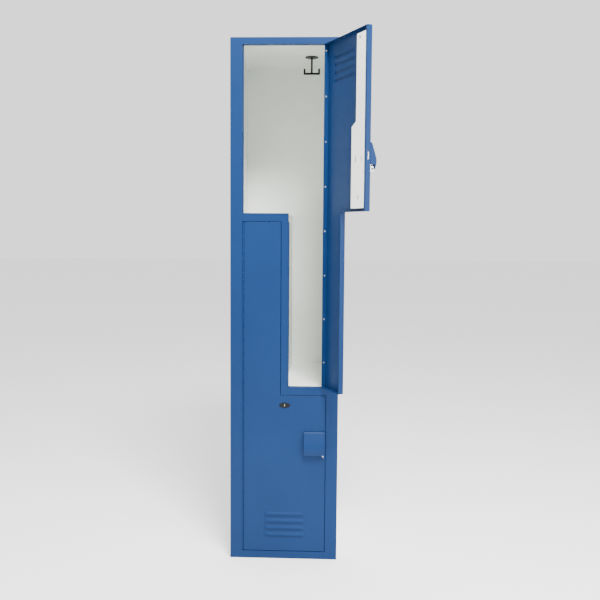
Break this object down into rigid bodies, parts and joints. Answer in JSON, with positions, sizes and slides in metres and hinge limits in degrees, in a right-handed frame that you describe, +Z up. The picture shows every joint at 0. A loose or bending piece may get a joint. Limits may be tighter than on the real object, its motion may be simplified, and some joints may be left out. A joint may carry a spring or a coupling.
{
  "type": "school locker",
  "caption": "Tall sheet-metal locker with interlocking L-shaped compartments, one door open on its continuous hinge and one shut, with hood handles, louvres and coat hooks.",
  "frame": {"origin": "middle of the cabinet's base, on the floor, on the underside of the base channel", "axes": "+Z up, the front with the doors faces -Y, +X to the right of someone facing the doors"},
  "size_m": [0.491, 0.8007, 1.8309],
  "materials": {
    "blue_enamel": "semi-gloss baked enamel with a faint orange peel",
    "off_white_enamel": "satin baked enamel",
    "black_enamel": "satin black coating",
    "zinc_plate": "dull bright zinc plating"
  },
  "bodies": {
    "cabinet": {"side_left": "off_white_enamel", "side_right": "off_white_enamel", "back_panel": "off_white_enamel", "top_panel": "off_white_enamel", "bottom_panel": "off_white_enamel", "base_channel": "zinc_plate", "upper_shelf": "off_white_enamel", "lower_shelf": "off_white_enamel", "partition": "off_white_enamel", "stile_left": "blue_enamel", "stile_right": "blue_enamel", "jamb_left": "blue_enamel", "jamb_right": "blue_enamel", "rail_top": "blue_enamel", "rail_bottom": "blue_enamel", "cross_rail_upper": "blue_enamel", "cross_rail_lower": "blue_enamel", "mullion": "blue_enamel", "upper_coat_hook": "black_enamel", "lower_coat_hook": "black_enamel", "upper_hook_rivet": "zinc_plate", "lower_hook_rivet": "zinc_plate", "upper_hinge_frame_leaf": "blue_enamel", "upper_hinge_pin": "zinc_plate", "lower_hinge_frame_leaf": "blue_enamel", "lower_hinge_pin": "zinc_plate"},
    "upper_door": {"upper_door": "blue_enamel", "upper_latch_channel": "off_white_enamel", "upper_hood": "blue_enamel", "upper_padlock_eye": "zinc_plate", "upper_number_plate": "black_enamel", "upper_hinge_door_leaf": "blue_enamel"},
    "upper_lift": {"upper_finger_lift": "zinc_plate"},
    "upper_bolt": {"upper_bolt": "zinc_plate"},
    "lower_door": {"lower_door": "blue_enamel", "lower_latch_channel": "off_white_enamel", "lower_hood": "blue_enamel", "lower_padlock_eye": "zinc_plate", "lower_number_plate": "black_enamel", "lower_hinge_door_leaf": "blue_enamel"},
    "lower_lift": {"lower_finger_lift": "zinc_plate"},
    "lower_bolt": {"lower_bolt": "zinc_plate"}
  },
  "joints": [
    {"name": "upper_door_hinge", "type": "hinge", "parent": "cabinet", "child": "upper_door", "pos_m": [0.1455, -0.2667, 1.2], "axis": [0, 0, 1], "range_deg": [-117.5, 47.5]},
    {"name": "lower_door_hinge", "type": "hinge", "parent": "cabinet", "child": "lower_door", "pos_m": [-0.1455, -0.2667, 0.6], "axis": [0, 0, -1], "range_deg": [0, 165]},
    {"name": "upper_lift_slide", "type": "slide", "parent": "upper_door", "child": "upper_lift", "axis": [0, 0, 1], "range_m": [-0.01, 0]},
    {"name": "upper_bolt_slide", "type": "slide", "parent": "upper_door", "child": "upper_bolt", "axis": [0.4618, -0.887, 0], "range_m": [0, 0.01]},
    {"name": "lower_lift_slide", "type": "slide", "parent": "lower_door", "child": "lower_lift", "axis": [0, 0, 1], "range_m": [-0.01, 0]},
    {"name": "lower_bolt_slide", "type": "slide", "parent": "lower_door", "child": "lower_bolt", "axis": [1, 0, 0], "range_m": [0, 0.01]}
  ],
  "couplings": [
    {"joint": "upper_bolt_slide", "follows": "upper_lift_slide", "ratio": -1},
    {"joint": "lower_bolt_slide", "follows": "lower_lift_slide", "ratio": -1}
  ]
}
